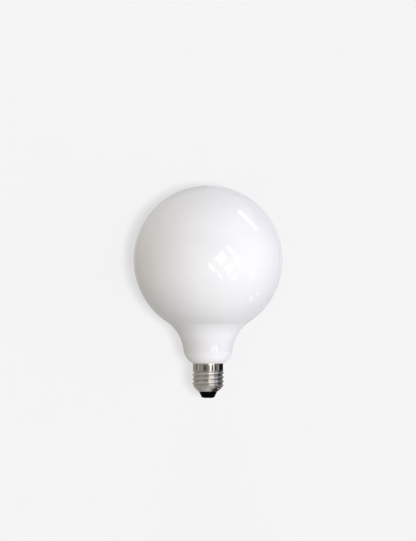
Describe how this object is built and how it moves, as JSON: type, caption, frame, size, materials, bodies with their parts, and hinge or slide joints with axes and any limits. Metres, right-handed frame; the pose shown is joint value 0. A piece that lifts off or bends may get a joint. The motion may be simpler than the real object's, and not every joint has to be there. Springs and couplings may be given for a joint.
{
  "type": "globe bulb",
  "caption": "Opal globe bulb: a white ball of glass with a flared neck on a plated screw cap with a rolled thread, a black insulator and a centre contact.",
  "frame": {"origin": "on the axis of the bulb, at the face of the centre contact", "axes": "+Z along the axis of the bulb, from the centre contact to the top of the globe; the bulb is round about it, and a crest of the thread starts at +X"},
  "size_m": [0.125, 0.125, 0.1785],
  "materials": {
    "opal_glass": "glossy white opal glass that can't be seen through",
    "plated_shell": "nickel plated sheet, polished on the collar and drawn by rolling on the thread",
    "black_insulator": "glossy black moulding",
    "contact_metal": "dull tinned metal with turning marks"
  },
  "bodies": {
    "root": {"globe": "opal_glass", "screw_shell": "plated_shell", "insulator": "black_insulator", "contact": "contact_metal"}
  },
  "joints": []
}
